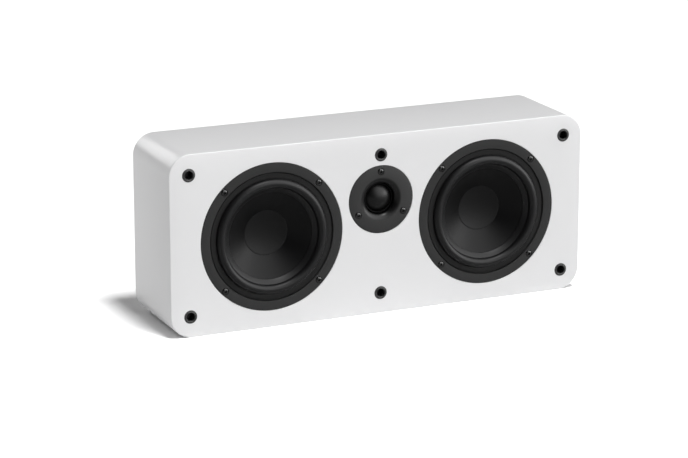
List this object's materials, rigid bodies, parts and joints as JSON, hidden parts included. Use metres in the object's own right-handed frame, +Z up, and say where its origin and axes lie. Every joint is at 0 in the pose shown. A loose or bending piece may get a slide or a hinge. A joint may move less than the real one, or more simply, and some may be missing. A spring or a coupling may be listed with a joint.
{
  "type": "wall speaker",
  "caption": "White wall speaker with two cone woofers beside a dome tweeter in a closed rounded cabinet, with grille sockets, rear terminals and wall hangers.",
  "frame": {"origin": "on the floor, under the middle of the whole speaker", "axes": "+X to the right as seen from the front, the front face looks along -Y, +Z up"},
  "size_m": [0.45, 0.1054, 0.185],
  "materials": {
    "white_lacquer": "satin white lacquer over board",
    "raw_board": "raw fibre board",
    "wadding": "loose white polyester wadding",
    "socket_rubber": "matte black rubber",
    "basket_paint": "fine-grained charcoal paint",
    "clamp_ring": "matte black",
    "surround_rubber": "soft-sheen black rubber",
    "cone": "satin black moulded cone",
    "dust_cap": "satin black",
    "spider_cloth": "resin-stiffened woven cloth",
    "copper": "enamelled copper wire",
    "zinc_steel": "zinc-plated steel",
    "ferrite": "dark grey ferrite",
    "tag_board": "brown fibre board with tinned tags",
    "black_screws": "blackened steel",
    "tweeter_plate": "fine-grained charcoal plastic",
    "dome_cloth": "glossy coated cloth",
    "circuit_board": "green board",
    "spacers": "natural nylon",
    "blue_sleeve": "blue sleeve",
    "yellow_tape": "yellow tape",
    "ceramic": "white ceramic",
    "black_plastic": "black moulding",
    "brass": "bright brass",
    "red_plastic": "glossy red",
    "black_gloss": "glossy black",
    "wire_sleeve": "red insulation"
  },
  "bodies": {
    "cabinet": {"cabinet_sleeve": "white_lacquer", "front_baffle": "white_lacquer", "rear_panel": "white_lacquer", "cabinet_braces": "raw_board", "wadding": "wadding", "grille_sockets": "socket_rubber", "woofer_left_basket": "basket_paint", "woofer_left_clamp_ring": "clamp_ring", "woofer_left_top_plate": "zinc_steel", "woofer_left_magnet": "ferrite", "woofer_left_yoke": "zinc_steel", "woofer_left_terminals": "tag_board", "woofer_right_basket": "basket_paint", "woofer_right_clamp_ring": "clamp_ring", "woofer_right_top_plate": "zinc_steel", "woofer_right_magnet": "ferrite", "woofer_right_yoke": "zinc_steel", "woofer_right_terminals": "tag_board", "woofer_screws": "black_screws", "tweeter_faceplate": "tweeter_plate", "tweeter_top_plate": "zinc_steel", "tweeter_magnet": "ferrite", "tweeter_yoke": "zinc_steel", "tweeter_terminals": "tag_board", "tweeter_screws": "black_screws", "crossover_board": "circuit_board", "crossover_spacers": "spacers", "crossover_screws": "zinc_steel", "woofer_inductor": "copper", "tweeter_inductor": "copper", "woofer_capacitor": "blue_sleeve", "tweeter_capacitor": "yellow_tape", "tweeter_resistor": "ceramic", "terminal_cup": "black_plastic", "terminal_cup_screws": "black_screws", "binding_posts": "brass", "post_nuts": "brass", "hanger_plates": "zinc_steel", "hanger_screws": "zinc_steel", "input_wires": "wire_sleeve", "woofer_wires": "wire_sleeve", "tweeter_wires": "wire_sleeve"},
    "woofer_left_diaphragm": {"woofer_left_surround": "surround_rubber", "woofer_left_cone": "cone", "woofer_left_dust_cap": "dust_cap", "woofer_left_spider": "spider_cloth", "woofer_left_voice_coil": "copper"},
    "woofer_right_diaphragm": {"woofer_right_surround": "surround_rubber", "woofer_right_cone": "cone", "woofer_right_dust_cap": "dust_cap", "woofer_right_spider": "spider_cloth", "woofer_right_voice_coil": "copper"},
    "tweeter_diaphragm": {"tweeter_surround": "dome_cloth", "tweeter_dome": "dome_cloth", "tweeter_voice_coil": "copper"},
    "red_clamp": {"red_clamp_washer": "brass"},
    "red_cap": {"red_cap": "red_plastic"},
    "black_clamp": {"black_clamp_washer": "brass"},
    "black_cap": {"black_cap": "black_gloss"}
  },
  "joints": [
    {"name": "woofer_left_travel", "type": "slide", "parent": "cabinet", "child": "woofer_left_diaphragm", "axis": [0, -1, 0], "range_m": [-0.004, 0.004], "stiffness_N_per_m": 1200, "deforming": ["woofer_left_surround", "woofer_left_spider"]},
    {"name": "woofer_right_travel", "type": "slide", "parent": "cabinet", "child": "woofer_right_diaphragm", "axis": [0, -1, 0], "range_m": [-0.004, 0.004], "stiffness_N_per_m": 1200, "deforming": ["woofer_right_surround", "woofer_right_spider"]},
    {"name": "tweeter_travel", "type": "slide", "parent": "cabinet", "child": "tweeter_diaphragm", "axis": [0, -1, 0], "range_m": [-0.0003, 0.0003], "stiffness_N_per_m": 100, "deforming": ["tweeter_surround"]},
    {"name": "red_clamp_travel", "type": "slide", "parent": "cabinet", "child": "red_clamp", "axis": [0, 1, 0], "range_m": [0, 0.004]},
    {"name": "red_cap_turn", "type": "hinge", "parent": "red_clamp", "child": "red_cap", "pos_m": [0.00953, 0.03717, 0.046], "axis": [0, 1, 0], "range_deg": [0, 1440]},
    {"name": "black_clamp_travel", "type": "slide", "parent": "cabinet", "child": "black_clamp", "axis": [0, 1, 0], "range_m": [0, 0.004]},
    {"name": "black_cap_turn", "type": "hinge", "parent": "black_clamp", "child": "black_cap", "pos_m": [-0.00953, 0.03717, 0.046], "axis": [0, 1, 0], "range_deg": [0, 1440]}
  ],
  "couplings": [
    {"joint": "red_cap_turn", "follows": "red_clamp_travel", "rad_per_m": 6283.2},
    {"joint": "black_cap_turn", "follows": "black_clamp_travel", "rad_per_m": 6283.2}
  ]
}
